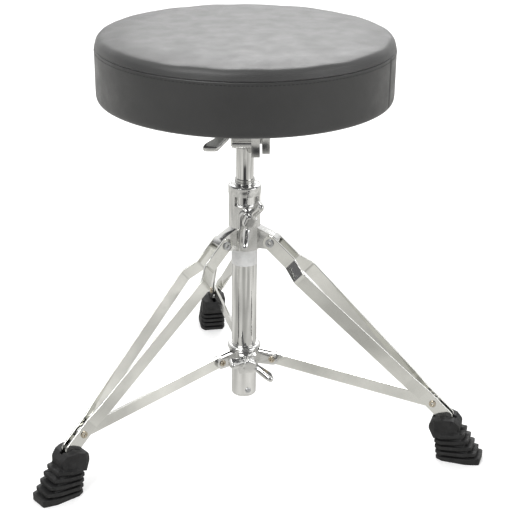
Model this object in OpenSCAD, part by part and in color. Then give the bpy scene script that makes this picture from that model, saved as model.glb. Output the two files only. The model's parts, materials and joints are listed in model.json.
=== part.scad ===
// Drum throne: round padded seat on a sliding post, carried by a folding tripod
// of three double-braced legs. Millimetres, +Z up, soles of the feet on z = 0.
// The tripod stands open at rest, with one leg to the rear (+Y).

/* [Seat] */
// Diameter over the padded seat
seat_d = 310; // [280:1:340]
// Height of the seat's underside above the floor
seat_bottom_z = 385; // [380:1:395]
// Height of the side band, from underside to welt seam
band_h = 55; // [45:1:60]
// Rise of the crowned top above the welt seam
crown_h = 14; // [10:1:18]
// Thickness of the plywood board
board_t = 12; // [9:1:15]
// Thickness of the vinyl cover
vinyl_t = 1.4; // [1.2:0.1:2]
// Turn of the seat and its clamp about the post
seat_turn = -10; // [-180:5:180]

/* [Column] */
// Diameter of the sliding post
post_d = 19; // [18.8:0.1:19.2]
// Diameter of the outer tube
tube_d = 28; // [27.8:0.1:28.2]
// Wall of the outer tube
tube_wall = 1.5; // [1.3:0.1:1.6]
// Height of the outer tube's lower end
tube_bottom_z = 36; // [34:1:38]
// Height of the wing screw that holds the post
height_screw_z = 256; // [255:1:257]

/* [Legs] */
// Distance of each leg pivot from the column's axis
leg_pivot_r = 31.9; // [31:0.1:33]
// Height of each leg pivot
leg_pivot_z = 225.8; // [225:0.1:227]
// Distance of each foot pivot from the column's axis
foot_pivot_r = 220.2; // [219:0.1:221]
// Height of each foot pivot
foot_pivot_z = 62.5; // [62:0.1:63]
// Width of the leg strips
strip_w = 16; // [15:0.5:17]
// Thickness of the leg strips
strip_t = 2.2; // [2:0.1:2.4]
// Thickness of each leg lug on the top casting
lug_t = 12; // [11:0.5:12.5]

/* [Braces] */
// Distance of each brace pivot from the column's axis
brace_pivot_r = 34.9; // [34:0.1:36]
// Height of each brace pivot
brace_pivot_z = 83.2; // [82:0.1:84]
// Width of the brace bars
brace_w = 14.4; // [13:0.2:15]
// Thickness of the brace bars
brace_t = 3; // [2.5:0.1:3.1]

/* [Feet] */
// Reach of the sole's outer edge from the column's axis
sole_out = 277; // [275:1:279]
// Reach of the sole's inner edge from the column's axis
sole_in = 229; // [227:1:231]
// Width of the foot across the leg
foot_w = 32; // [30:1:34]

/* [Hidden] */
$fn = 64;

chrome_c = "silver";
steel_c = "gainsboro";
brass_c = "darkkhaki";
rubber_c = "dimgray";
vinyl_c = "darkslategray";
nylon_c = "black";
wood_c = "burlywood";
foam_c = "khaki";

// Running clearance of a shaft in its bore, on the radius
run = 0.05;
// Gap between faces of neighbouring pieces
gap = 0.1;

// Directions of the legs about the column
left_a = -150;
right_a = -30;
rear_a = 90;

// The column stands off the origin so that the origin is the middle of the footprint
column_y = -(sole_out - seat_d / 2) / 2;

post_r = post_d / 2;
tube_r = tube_d / 2;
tube_in_r = tube_r - tube_wall;

// Top casting
cast_bottom_z = 215;
cast_ring_z = 278;
cast_top_z = 288;
cast_lip_z = 282;
cast_r = 17.2;
ring_r = 17.9;
boss_w = 18.6;
boss_y = 24;

// Lower collar
collar_bottom_z = 70;
collar_body_z = 88;
collar_top_z = 98.5;
collar_r = 16.4;
collar_flare_r = 17.8;
collar_screw_z = 84;
ear_t = 3;
ear_r = 7;

// Split bush and post
bush_bottom_z = 214;
bush_top_z = 294.5;
bush_neck_r = 10.75;
post_bottom_z = 70;
post_top_z = 376;

// Seat
seat_r = seat_d / 2;
seam_z = seat_bottom_z + band_h;
board_z = seat_bottom_z + vinyl_t + gap;
foam_z = board_z + board_t;
plate_t = 3;
plate_r = 52;
clamp_bottom_z = 331;
clamp_screw_z = 350;
clamp_screw_y = -15.5;
seat_screw_r = 38;

// Leg line
leg_l = norm([foot_pivot_r - leg_pivot_r, leg_pivot_z - foot_pivot_z]);
leg_slope = atan2(leg_pivot_z - foot_pivot_z, foot_pivot_r - leg_pivot_r);
brace_l = norm([foot_pivot_r - brace_pivot_r, brace_pivot_z - foot_pivot_z]);
brace_slope = atan2(brace_pivot_z - foot_pivot_z, foot_pivot_r - brace_pivot_r);

// Pivot pins
pivot_r = 3;
rivet_head_r = 4.6;
rivet_head_h = 1.8;

// Offsets of a strip's middle line from the leg's mid-plane
strip_top_y = lug_t / 2 + gap + strip_t / 2;
strip_wide_y = 17.6;
strip_foot_y = 3.5;
strip_end = leg_l + 28;

// Screws with wings
stud_r = 4;
hub_r = 6.4;
hub_h = 12;
wing_t = 5.8;

// ---- Placing ----

module at_column() {
    translate([0, column_y, 0]) children();
}

// +X outward along a leg's direction, from the column's axis
module on_leg(angle) {
    at_column() rotate([0, 0, angle]) children();
}

// +X down the leg from its pivot, +Z square to the leg and away from the column's foot
module along_leg(angle) {
    on_leg(angle)
        translate([leg_pivot_r, 0, leg_pivot_z])
        rotate([0, leg_slope, 0])
        children();
}

module along_brace(angle) {
    on_leg(angle)
        translate([brace_pivot_r, 0, brace_pivot_z])
        rotate([0, brace_slope, 0])
        children();
}

// +Z out of the front of the column, at a height and a distance from its axis
module at_front(z, y) {
    at_column() translate([0, -y, z]) rotate([90, 0, 0]) children();
}

module in_seat() {
    at_column() rotate([0, 0, seat_turn]) children();
}

// ---- Shapes ----

function unit(v) = v / norm(v);

// Normal to the left of a path's segment
function left_normal(a, b) = let (d = unit(b - a)) [-d.y, d.x];

// Points of a path shifted sideways by d, mitred at its bends
function shifted(path, d) = [
    for (i = [0 : len(path) - 1])
        let (
            n1 = left_normal(path[max(i - 1, 0)], path[max(i, 1)]),
            n2 = left_normal(path[min(i, len(path) - 2)], path[min(i + 1, len(path) - 1)]),
            m = unit(n1 + n2)
        )
        path[i] + m * d / (m * n1)
];

function reversed(list) = [for (i = [len(list) - 1 : -1 : 0]) list[i]];

function arc(centre, r, a0, a1, steps) = [
    for (i = [0 : steps]) let (a = a0 + (a1 - a0) * i / steps) centre + r * [cos(a), sin(a)]
];

// Convex outline with every corner rounded to radius r
module rounded_outline(points, r) {
    n = len(points);
    corners = [
        for (i = [0 : n - 1])
            let (
                p = points[i],
                a = unit(points[(i + n - 1) % n] - p),
                b = unit(points[(i + 1) % n] - p),
                half = acos(a * b) / 2
            )
            [p + a * r / tan(half), p + b * r / tan(half), p + unit(a + b) * r / sin(half)]
    ];
    polygon([for (c = corners) each [c[0], c[1]]]);
    for (c = corners) translate(c[2]) circle(r);
}

// Side profile in the X-Z plane, given thickness t about y = 0
module upright_slab(t) {
    rotate([90, 0, 0]) linear_extrude(t, center = true) children();
}

// Pin along Y with a domed head on both ends
module rivet(r, half_l, head_r, head_h) {
    rotate([90, 0, 0]) cylinder(r = r, h = 2 * half_l + gap, center = true);
    for (side = [-1, 1])
        translate([0, side * half_l, 0]) rotate([-90 * side, 0, 0]) rivet_head(head_r, head_h);
}

module rivet_head(r, h) {
    rotate_extrude() polygon(concat([[0, 0]], arc([r - h, 0], h, 0, 90, 8), [[0, h]]));
}

// ---- Column ----

module outer_tube() {
    color(chrome_c) at_column() difference() {
        translate([0, 0, tube_bottom_z]) cylinder(r = tube_r, h = cast_lip_z - tube_bottom_z);
        translate([0, 0, tube_bottom_z - 1]) cylinder(r = tube_in_r, h = cast_lip_z);
        translate([0, 0, height_screw_z]) rotate([90, 0, 0]) cylinder(r = stud_r + 0.5, h = 20);
        translate([0, 0, tube_bottom_z + 5.5]) rotate([0, 0, 10]) rotate([90, 0, 0])
            cylinder(r = 2.1, h = 20);
    }
}

module tube_end_cap() {
    rim = arc([tube_r - 2.5, 2.5], 2.5, -90, 0, 8);
    color(chrome_c) at_column() translate([0, 0, tube_bottom_z - 3]) {
        rotate_extrude() polygon(concat([[0, 0]], rim, [[tube_r, 3 - gap], [0, 3 - gap]]));
        difference() {
            translate([0, 0, 1]) cylinder(r = tube_in_r - gap, h = 6.5);
            translate([0, 0, 3]) cylinder(r = tube_in_r - 2.5, h = 6);
            translate([0, 0, 8.5]) rotate([0, 0, 10]) rotate([90, 0, 0]) cylinder(r = 2.1, h = 20);
        }
    }
}

module tube_stop_screw() {
    color(steel_c) at_column() translate([0, 0, tube_bottom_z + 5.5])
        rotate([0, 0, 10]) rotate([90, 0, 0]) difference() {
            union() {
                translate([0, 0, 10.5]) cylinder(r = 2, h = tube_r - 10.4);
                translate([0, 0, tube_r]) rivet_head(3.4, 1.7);
            }
            translate([-2.5, -0.4, tube_r + 1]) cube([5, 0.8, 3]);
        }
}

module plain_band() {
    color("whitesmoke") at_column() translate([0, 0, 196]) difference() {
        cylinder(r = tube_r + 0.35, h = 18);
        translate([0, 0, -1]) cylinder(r = tube_r + 0.02, h = 20);
    }
}

module leg_lug() {
    upright_slab(lug_t) {
        translate([leg_pivot_r, leg_pivot_z]) circle(8.4);
        polygon([
            [12, cast_bottom_z + 2], [leg_pivot_r - 2, leg_pivot_z - 8.2],
            [leg_pivot_r + 3, leg_pivot_z + 7.8], [12, leg_pivot_z + 17]
        ]);
    }
}

module top_casting() {
    edge = arc([ring_r - 2, cast_top_z - 2], 2, 0, 90, 8);
    color(chrome_c) at_column() difference() {
        union() {
            translate([0, 0, cast_bottom_z]) cylinder(r = cast_r, h = cast_ring_z - cast_bottom_z + 1);
            rotate_extrude()
                polygon(concat([[0, cast_ring_z], [ring_r, cast_ring_z]], edge, [[0, cast_top_z]]));
            front_boss();
            for (a = [left_a, right_a, rear_a]) rotate([0, 0, a]) leg_lug();
        }
        translate([0, 0, cast_bottom_z - 1])
            cylinder(r = tube_r + 0.03, h = cast_lip_z - cast_bottom_z + 1 + gap);
        translate([0, 0, cast_top_z - 20]) cylinder(r = bush_neck_r + 0.1, h = 30);
        // Window that shows the tube between the boss and the ring
        translate([-13, -30, height_screw_z + 10.5])
            cube([26, 22, cast_ring_z - height_screw_z - 11.5]);
        translate([0, 0, height_screw_z]) rotate([90, 0, 0]) cylinder(r = stud_r + 0.08, h = 40);
        translate([0, 0, height_screw_z]) rotate([-90, 0, 0]) cylinder(r = 2.55, h = 40);
        for (a = [left_a, right_a, rear_a]) rotate([0, 0, a])
            translate([leg_pivot_r, 0, leg_pivot_z]) rotate([90, 0, 0])
            cylinder(r = pivot_r + run, h = 20, center = true);
    }
}

// Upright pillar on the casting's front that takes the height screw
module front_boss() {
    translate([0, -boss_y + 7, 0]) upright_slab(14) {
        translate([0, height_screw_z]) circle(boss_w / 2);
        translate([-boss_w / 2, cast_bottom_z + 4])
            square([boss_w, height_screw_z - cast_bottom_z - 4]);
    }
    translate([0, -boss_y + 1, height_screw_z]) rotate([90, 0, 0]) cylinder(r = 7.6, h = 2.2);
}

module casting_set_screw() {
    color(steel_c) at_column() translate([0, tube_r + gap, height_screw_z]) rotate([-90, 0, 0])
        difference() {
            cylinder(r = 2.5, h = 4.2);
            translate([0, 0, 2.4]) cylinder(r = 1.4, h = 3, $fn = 6);
        }
}

module post_bush() {
    neck_z = cast_lip_z - gap;
    color(chrome_c) at_column() difference() {
        union() {
            translate([0, 0, bush_bottom_z])
                cylinder(r = tube_in_r - gap, h = neck_z - bush_bottom_z);
            translate([0, 0, neck_z - 1]) cylinder(r = bush_neck_r - 0.9, h = bush_top_z - neck_z + 1);
            for (z = [neck_z - 0.5, cast_top_z + 1.4, cast_top_z + 4.4])
                translate([0, 0, z]) cylinder(r = bush_neck_r, h = z < cast_top_z ? 6.4 : 1.9);
        }
        translate([0, 0, bush_bottom_z - 1]) cylinder(r = post_r + run, h = 100);
        // Split at the back, so that the bush closes on the post
        translate([-1, 0, bush_bottom_z - 1]) cube([2, 20, 100]);
        translate([0, 0, height_screw_z]) rotate([90, 0, 0]) cylinder(r = stud_r + 0.3, h = 20);
    }
}

// ---- Screws with wings ----

// Hub and two wings about +Z, seated on z = 0
module wing_head(turn) {
    tip = arc([hub_r - 2, hub_h - 2], 2, 0, 90, 6);
    rotate([0, 0, turn]) difference() {
        union() {
            rotate_extrude() polygon(concat([[0, 0], [hub_r, 0]], tip, [[0, hub_h]]));
            for (side = [0, 180]) rotate([0, 0, side]) upright_slab(wing_t) {
                translate([19.5, 18.5]) circle(6.5);
                polygon([[2, 1.5], [9, 3.2], [24.2, 14], [25, 20], [14.8, 23], [8.5, 12.5], [2, 10.5]]);
            }
        }
        translate([0, 0, -1]) cylinder(r = stud_r - 0.5, h = 9);
    }
}

// Threaded stud that starts inside the hub and runs back to a depth below its seat
module stud(r, depth) {
    translate([0, 0, -depth]) {
        cylinder(r = r, h = depth - gap);
        cylinder(r = r - 0.55, h = depth + 7);
    }
}

module height_wing_screw() {
    color(chrome_c) at_front(height_screw_z, boss_y + 1.5) wing_head(69);
}

module height_screw_stud() {
    color(steel_c) at_front(height_screw_z, boss_y + 1.5) stud(stud_r, boss_y + 1.5 - post_r - 0.3);
}

module collar_wing_screw() {
    color(chrome_c) at_front(collar_screw_z, boss_y + 1.5) wing_head(-26);
}

module collar_screw_stud() {
    color(steel_c) at_front(collar_screw_z, boss_y + 1.5) stud(stud_r, boss_y + 1.5 - tube_r - 0.3);
}

// ---- Lower collar ----

module brace_collar() {
    lip = arc([collar_r - 1, collar_top_z - 4.5], 3.2, -55, 115, 14);
    color(chrome_c) at_column() difference() {
        union() {
            translate([0, 0, collar_bottom_z])
                cylinder(r = collar_r, h = collar_body_z - collar_bottom_z);
            rotate_extrude() polygon(concat(
                [[0, collar_bottom_z + 4], [collar_r, collar_bottom_z + 4], [collar_r, collar_body_z]],
                lip, [[0, collar_top_z]]
            ));
            translate([0, -boss_y + 6, 0]) upright_slab(14)
                translate([-9.4, collar_bottom_z]) square([18.8, 22]);
            for (a = [left_a, right_a, rear_a]) rotate([0, 0, a]) brace_ears();
        }
        translate([0, 0, collar_bottom_z - 1])
            cylinder(r = tube_r + 0.08, h = collar_top_z - collar_bottom_z + 2);
        translate([0, 0, collar_screw_z]) rotate([90, 0, 0]) cylinder(r = stud_r + 0.08, h = 40);
        for (a = [left_a, right_a, rear_a]) rotate([0, 0, a])
            translate([brace_pivot_r, 0, brace_pivot_z]) rotate([90, 0, 0])
            cylinder(r = 2.5 + run, h = 20, center = true);
    }
}

module brace_ears() {
    for (side = [-1, 1]) translate([0, side * (brace_t / 2 + gap + ear_t / 2), 0])
        upright_slab(ear_t) {
            translate([brace_pivot_r, brace_pivot_z]) circle(ear_r);
            polygon([
                [13, brace_pivot_z - ear_r - 1], [brace_pivot_r, brace_pivot_z - ear_r],
                [brace_pivot_r, brace_pivot_z + ear_r], [13, brace_pivot_z + ear_r + 1]
            ]);
        }
}

module brace_pivot_rivets() {
    color(brass_c) for (a = [left_a, right_a, rear_a]) on_leg(a)
        translate([brace_pivot_r, 0, brace_pivot_z])
        rivet(2.5, brace_t / 2 + gap + ear_t + gap, 3.7, 1.3);
}

module leg_pivot_rivets() {
    color(steel_c) for (a = [left_a, right_a, rear_a]) on_leg(a)
        translate([leg_pivot_r, 0, leg_pivot_z])
        rivet(pivot_r, strip_top_y + strip_t / 2 + gap, rivet_head_r, rivet_head_h);
}

// ---- Legs ----

// One bent strip of a leg, on the side given by +1 or -1
module leg_strip(angle, side) {
    line = [
        [-12, strip_top_y], [31.5, strip_top_y], [49.5, strip_wide_y],
        [leg_l - 36, 6.6], [leg_l - 14, strip_foot_y], [strip_end + 1, strip_foot_y]
    ];
    outline = concat(shifted(line, strip_t / 2), reversed(shifted(line, -strip_t / 2)));
    half = strip_w / 2;
    color(chrome_c) along_leg(angle) mirror([0, side < 0 ? 1 : 0, 0]) difference() {
        intersection() {
            linear_extrude(strip_w + 2, center = true) polygon(outline);
            upright_slab(60) {
                circle(half);
                translate([0, -half]) square([strip_end - half, strip_w]);
                translate([strip_end - half, 0]) circle(half);
            }
        }
        rotate([90, 0, 0]) cylinder(r = pivot_r + run, h = 60, center = true);
        translate([leg_l, 0, 0]) rotate([90, 0, 0]) cylinder(r = 2.8, h = 60, center = true);
        foot_pin_place() cylinder(r = 1.8, h = 60, center = true);
    }
}

// Where the cross pin holds the rubber foot, in the frame of along_leg
module foot_pin_place() {
    translate([leg_l + 22, 0, -3.5]) rotate([90, 0, 0]) children();
}

// A short rivet in each strip, clear of the brace's end between them
module foot_rivets(angle) {
    color(brass_c) along_leg(angle) translate([leg_l, 0, 0]) for (side = [0, 180])
        rotate([0, 0, side]) rotate([90, 0, 0]) {
            translate([0, 0, strip_foot_y - strip_t / 2]) cylinder(r = 2.75, h = strip_t + gap);
            translate([0, 0, strip_foot_y + strip_t / 2 + gap]) rivet_head(3.8, 1.4);
        }
}

module foot_spacer(angle) {
    color(steel_c) along_leg(angle) foot_pin_place() difference() {
        cylinder(r = 3.4, h = 2 * strip_foot_y - strip_t - 2 * gap, center = true);
        cylinder(r = 1.8, h = 60, center = true);
    }
}

module foot_pin(angle) {
    color(steel_c) along_leg(angle) foot_pin_place() cylinder(r = 1.75, h = 20, center = true);
}

// Plan of a foot's fin between two reaches, smaller all round by inset
module foot_plan(r_in, r_out, inset) {
    half = foot_w / 2 - inset;
    rounded_outline([
        [r_in + inset, 4 - half], [r_in + 8, -half], [r_out - 14, 0.6 - half], [r_out - inset, 5 - half],
        [r_out - inset, half - 5], [r_out - 14, half - 0.6], [r_in + 8, half], [r_in + inset, half - 4]
    ], 3);
}

// One fin: reaches, underside heights and thicknesses at its inner and outer ends
module fin(r_in, r_out, z_in, z_out, t_in, t_out) {
    intersection() {
        linear_extrude(80) foot_plan(r_in, r_out, 0);
        upright_slab(foot_w + 10) polygon([
            [r_in - 1, z_in], [r_out + 1, z_out], [r_out + 1, z_out + t_out], [r_in - 1, z_in + t_in]
        ]);
    }
}

module rubber_foot(angle) {
    fins = 4;
    color(rubber_c) difference() {
        on_leg(angle) {
            fin(sole_in, sole_out, 0, 0, 3.6, 8);
            // Each fin is shorter and tilted a little more than the one below it
            for (i = [1 : fins])
                fin(sole_in - i, sole_out - 4.7 * i, 0.4 + 6.3 * i, 2.6 + 7 * i, 3.6, 4.2);
            intersection() {
                linear_extrude(80) foot_plan(sole_in - 4, sole_out, 3.6);
                upright_slab(foot_w) polygon([
                    [sole_in + 3.4, 1], [sole_out - 7, 1], [sole_out - 29, 40], [sole_in + 1, 40]
                ]);
            }
            intersection() {
                linear_extrude(80) foot_plan(sole_in - 11, sole_out - 24, 0.8);
                upright_slab(foot_w) rounded_outline([
                    [218, 37], [225.5, 26], [253, 36.5], [252.4, 43], [245.5, 49.3], [235, 50.3], [221, 45]
                ], 1.2);
            }
        }
        along_leg(angle) {
            // Pocket for the ends of the two strips
            upright_slab(2 * strip_foot_y + strip_t + 2 * gap) {
                translate([leg_l, -strip_w / 2 - gap]) square([20, strip_w + 2 * gap]);
                translate([strip_end - strip_w / 2, 0]) circle(strip_w / 2 + gap);
            }
            // Slot that the brace's end swings through
            translate([leg_l, 0, 4]) cube([60, brace_t + 1.6, 34], center = true);
            foot_pin_place() cylinder(r = 1.8, h = 21, center = true);
        }
    }
}

module brace(angle) {
    half = brace_w / 2;
    color(chrome_c) along_brace(angle) difference() {
        upright_slab(brace_t) {
            circle(half - 0.4);
            translate([0, 0.4 - half]) square([20, brace_w - 0.8]);
            polygon([
                [18, 0.4 - half], [26, -half], [brace_l - 14, -half], [brace_l - 6, 0.4 - half],
                [brace_l, 0.4 - half], [brace_l, half - 0.4], [brace_l - 6, half - 0.4],
                [brace_l - 14, half], [26, half], [18, half - 0.4]
            ]);
            translate([brace_l, 0]) circle(half - 0.4);
        }
        rotate([90, 0, 0]) cylinder(r = 2.5 + run, h = 20, center = true);
        translate([brace_l, 0, 0]) rotate([90, 0, 0]) cylinder(r = 2.8, h = 20, center = true);
    }
}

// ---- Post ----

module post() {
    color(chrome_c) at_column() translate([0, 0, post_bottom_z]) difference() {
        cylinder(r = post_r, h = post_top_z - post_bottom_z);
        translate([0, 0, -1]) cylinder(r = post_r - 1.5, h = post_top_z);
    }
}

// Nylon ring pressed in the post's lower end, which keeps it central in the tube
module post_guide_ring() {
    color(nylon_c) at_column() translate([0, 0, post_bottom_z - 6]) difference() {
        union() {
            cylinder(r = tube_in_r - 0.1, h = 6 - gap);
            cylinder(r = post_r - 1.6, h = 16);
        }
        translate([0, 0, -1]) cylinder(r = 5, h = 20);
    }
}

module post_cap() {
    color(nylon_c) at_column() translate([0, 0, post_top_z]) {
        translate([0, 0, gap]) cylinder(r = post_r - 0.2, h = 2);
        translate([0, 0, -9]) cylinder(r = post_r - 1.6, h = 9.5);
    }
}

// ---- Seat ----

module seat_clamp() {
    top_z = seat_bottom_z - plate_t - gap;
    ear_z = 324;
    color(chrome_c) in_seat() difference() {
        union() {
            translate([0, 0, clamp_bottom_z]) cylinder(r = 15.4, h = top_z - clamp_bottom_z);
            translate([0, 0, top_z - 7]) cylinder(r1 = 15.4, r2 = 24, h = 7, $fn = 96);
            // Block, screw barrel and far ear at the front
            translate([6.5, clamp_screw_y - 6, ear_z]) cube([9, 14, 36]);
            translate([-14, clamp_screw_y - 5.5, clamp_screw_z - 8]) cube([21, 12, 17]);
            translate([18, clamp_screw_y - 6, ear_z + 4]) cube([8, 27, 32]);
            translate([8, 0.5, ear_z + 8]) cube([14, 5, 28]);
            // Cross rib with a blind end
            translate([-13.5, clamp_screw_y + 1, 336.5]) rotate([0, 90, 0]) cylinder(r = 4.6, h = 21);
        }
        translate([0, 0, clamp_bottom_z - 20]) cylinder(r = post_r + run, h = 69);
        // Split from the bore to the slot between block and far ear
        translate([0, -2.5, clamp_bottom_z - 20]) cube([18, 3, 80]);
        translate([-17, clamp_screw_y, clamp_screw_z]) rotate([0, 90, 0])
            cylinder(r = 3.5 + 0.08, h = 60);
        translate([-14, clamp_screw_y + 1, 336.5]) rotate([0, 90, 0]) cylinder(r = 2.2, h = 6);
    }
}

// Clamp screw frame: +Z leaves the seat clamp to the left
module at_clamp_screw() {
    in_seat() translate([-16.2, clamp_screw_y, clamp_screw_z]) rotate([0, -90, 0]) children();
}

module clamp_wing_screw() {
    color(chrome_c) at_clamp_screw() wing_head(-118);
}

module clamp_screw_stud() {
    color(steel_c) at_clamp_screw() stud(3.5, 43.5);
}

module seat_plate() {
    color(steel_c) in_seat() translate([0, 0, seat_bottom_z - plate_t]) difference() {
        cylinder(r = plate_r, h = plate_t - gap);
        seat_screw_places() translate([0, 0, -1]) cylinder(r = 3.2, h = 10);
    }
}

module seat_screw_places() {
    for (i = [0 : 3]) rotate([0, 0, 45 + 90 * i]) translate([seat_screw_r, 0, 0]) children();
}

module seat_screws() {
    color(steel_c) in_seat() seat_screw_places()
        translate([0, 0, seat_bottom_z - plate_t - gap]) difference() {
            union() {
                cylinder(r = 2.4, h = plate_t + board_t);
                rotate([180, 0, 0]) rivet_head(5.4, 3);
            }
            translate([-0.5, -3, -4]) cube([1, 6, 2.4]);
            translate([-3, -0.5, -4]) cube([6, 1, 2.4]);
        }
}

module seat_tee_nuts() {
    color(steel_c) in_seat() seat_screw_places() translate([0, 0, foam_z - 9]) difference() {
        union() {
            cylinder(r = 3.9, h = 9);
            translate([0, 0, 9 - 1.2]) cylinder(r = 9, h = 1.2);
        }
        translate([0, 0, -1]) cylinder(r = 2.45, h = 12);
    }
}

module seat_board() {
    color(wood_c) in_seat() translate([0, 0, board_z]) difference() {
        union() {
            // Lower edge eased to fit the turn of the cover
            cylinder(r1 = seat_r - vinyl_t - 4, r2 = seat_r - vinyl_t - 1, h = 3);
            translate([0, 0, 3]) cylinder(r = seat_r - vinyl_t - 1, h = board_t - gap - 3);
        }
        seat_screw_places() {
            translate([0, 0, -1]) cylinder(r = 4, h = 20);
            translate([0, 0, board_t - 1.4]) cylinder(r = 9.1, h = 20);
        }
    }
}

// Rim and crown of the padded top, in by d from the cover's outside
function crown_profile(d) = concat(
    [[seat_r - d, seam_z], [seat_r - d - 0.1, seam_z + 5]],
    arc([seat_r - 5.3, seam_z + 6.3], 5.2 - d, 10, 85, 8),
    [
        for (i = [1 : 6])
            let (r = (seat_r - 5.3) * (1 - i / 6))
            [r, seam_z + 11.5 + (crown_h - 11.5) * (1 - pow(1 - i / 6, 2)) - d]
    ]
);

module seat_foam() {
    color(foam_c) in_seat() rotate_extrude() polygon(concat(
        [[0, foam_z], [seat_r - vinyl_t - gap, foam_z]], crown_profile(vinyl_t + gap)
    ));
}

module seat_cover_top() {
    color(vinyl_c) in_seat() rotate_extrude()
        polygon(concat(crown_profile(0), reversed(crown_profile(vinyl_t))));
}

// Side band, turned in under the board
module seat_cover_band() {
    turn = arc([seat_r - 5, seat_bottom_z + 5], 5, -90, 0, 6);
    inner = arc([seat_r - 5, seat_bottom_z + 5], 5 - vinyl_t, 0, -90, 6);
    color(vinyl_c) in_seat() rotate_extrude() polygon(concat(
        [[seat_r - 26, seat_bottom_z]], turn, [[seat_r, seam_z - gap]],
        [[seat_r - vinyl_t, seam_z - gap]], inner, [[seat_r - 26, seat_bottom_z + vinyl_t]]
    ));
}

module seat_dust_cloth() {
    color("dimgray") in_seat() translate([0, 0, seat_bottom_z]) difference() {
        cylinder(r = seat_r - 26.2, h = 1.2);
        seat_screw_places() translate([0, 0, -1]) cylinder(r = 4, h = 5);
    }
}

// ---- Nodes ----

outer_tube();
top_casting();
post_bush();
casting_set_screw();
tube_end_cap();
tube_stop_screw();
plain_band();
leg_pivot_rivets();
height_wing_screw();
height_screw_stud();
brace_collar();
brace_pivot_rivets();
collar_wing_screw();
collar_screw_stud();
leg_strip(left_a, 1);  // left_leg_strip_1
leg_strip(left_a, -1);  // left_leg_strip_2
foot_rivets(left_a);  // left_foot_rivets
foot_spacer(left_a);  // left_foot_spacer
foot_pin(left_a);  // left_foot_pin
rubber_foot(left_a);  // left_foot
brace(left_a);  // left_brace
leg_strip(right_a, 1);  // right_leg_strip_1
leg_strip(right_a, -1);  // right_leg_strip_2
foot_rivets(right_a);  // right_foot_rivets
foot_spacer(right_a);  // right_foot_spacer
foot_pin(right_a);  // right_foot_pin
rubber_foot(right_a);  // right_foot
brace(right_a);  // right_brace
leg_strip(rear_a, 1);  // rear_leg_strip_1
leg_strip(rear_a, -1);  // rear_leg_strip_2
foot_rivets(rear_a);  // rear_foot_rivets
foot_spacer(rear_a);  // rear_foot_spacer
foot_pin(rear_a);  // rear_foot_pin
rubber_foot(rear_a);  // rear_foot
brace(rear_a);  // rear_brace
post();
post_guide_ring();
post_cap();
seat_clamp();
seat_plate();
seat_screws();
seat_tee_nuts();
seat_board();
seat_foam();
seat_cover_top();
seat_cover_band();
seat_dust_cloth();
clamp_wing_screw();
clamp_screw_stud();
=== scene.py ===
"""Looks of a folding drum throne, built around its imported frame.

The frame holds every size and place. Each class below makes the pieces of one sub-assembly
in metres, in the frame's own axes, and dresses them and the frame's nodes with finishes.
"""

import json
import logging
import math
from collections.abc import Callable, Iterable, Iterator, Sequence
from contextlib import contextmanager
from dataclasses import dataclass, field
from enum import Enum

import bmesh
import bpy
from mathutils import Matrix, Vector


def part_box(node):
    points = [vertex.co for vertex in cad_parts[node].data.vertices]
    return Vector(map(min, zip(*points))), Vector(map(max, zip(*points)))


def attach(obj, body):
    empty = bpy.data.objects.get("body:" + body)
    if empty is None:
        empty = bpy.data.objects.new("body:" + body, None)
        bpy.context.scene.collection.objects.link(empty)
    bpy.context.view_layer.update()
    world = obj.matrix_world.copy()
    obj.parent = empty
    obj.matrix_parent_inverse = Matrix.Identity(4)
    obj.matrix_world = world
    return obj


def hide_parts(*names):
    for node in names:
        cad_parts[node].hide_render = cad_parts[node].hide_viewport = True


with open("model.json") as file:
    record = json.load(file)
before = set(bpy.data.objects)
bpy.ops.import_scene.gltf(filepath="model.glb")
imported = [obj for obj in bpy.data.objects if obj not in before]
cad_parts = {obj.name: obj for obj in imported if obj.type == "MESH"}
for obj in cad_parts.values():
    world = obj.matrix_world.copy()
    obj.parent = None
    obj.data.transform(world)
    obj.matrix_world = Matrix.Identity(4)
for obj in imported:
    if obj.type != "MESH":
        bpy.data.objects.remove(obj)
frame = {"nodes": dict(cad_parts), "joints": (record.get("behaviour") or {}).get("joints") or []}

Piece = bpy.types.Object
Material = bpy.types.Material
Socket = bpy.types.NodeSocket
Span = tuple[float, float]
Triple = tuple[float, float, float]

log = logging.getLogger("drum_throne")

MM = 0.001
DOUBLES = 0.002 * MM
FLAT_ANGLE = 1.5


class Way(Enum):
    """Directions of the three legs about the column, in degrees from +X."""

    left = -150.0
    right = -30.0
    rear = 90.0

    @property
    def radians(self) -> float:
        """The direction in radians."""
        return math.radians(self.value)


class Kind(Enum):
    """What a selection picks: Blender's name of the mode, and bmesh's list of them."""

    FACE = "faces"
    EDGE = "edges"


# ---------------------------------------------------------------- making meshes


def deselect() -> None:
    """Leave nothing selected and no object in edit mode."""
    if bpy.context.object and bpy.context.object.mode != "OBJECT":
        bpy.ops.object.mode_set(mode="OBJECT")
    bpy.ops.object.select_all(action="DESELECT")


def activate(piece: Piece) -> None:
    """Make one piece the only selected and active object."""
    deselect()
    piece.select_set(True)
    bpy.context.view_layer.objects.active = piece


def start(operator: Callable, name: str, **options: object) -> Piece:
    """Add a primitive as the start of a new piece.

    Args:
        operator: A bpy.ops.mesh primitive operator.
        name: Name of the new piece.
        **options: Sizes and place for the operator.

    Returns:
        The new object, with its place moved into its mesh.
    """
    deselect()
    operator(**options)
    piece = bpy.context.object
    piece.name = name
    bpy.ops.object.transform_apply(location=True, rotation=True, scale=True)
    return piece


@contextmanager
def editing(piece: Piece, everything: bool = False) -> Iterator[None]:
    """Put a piece in edit mode with nothing or everything selected, and leave it at the end."""
    activate(piece)
    bpy.ops.object.mode_set(mode="EDIT")
    bpy.ops.mesh.select_all(action="SELECT" if everything else "DESELECT")
    yield
    bpy.ops.object.mode_set(mode="OBJECT")


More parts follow.
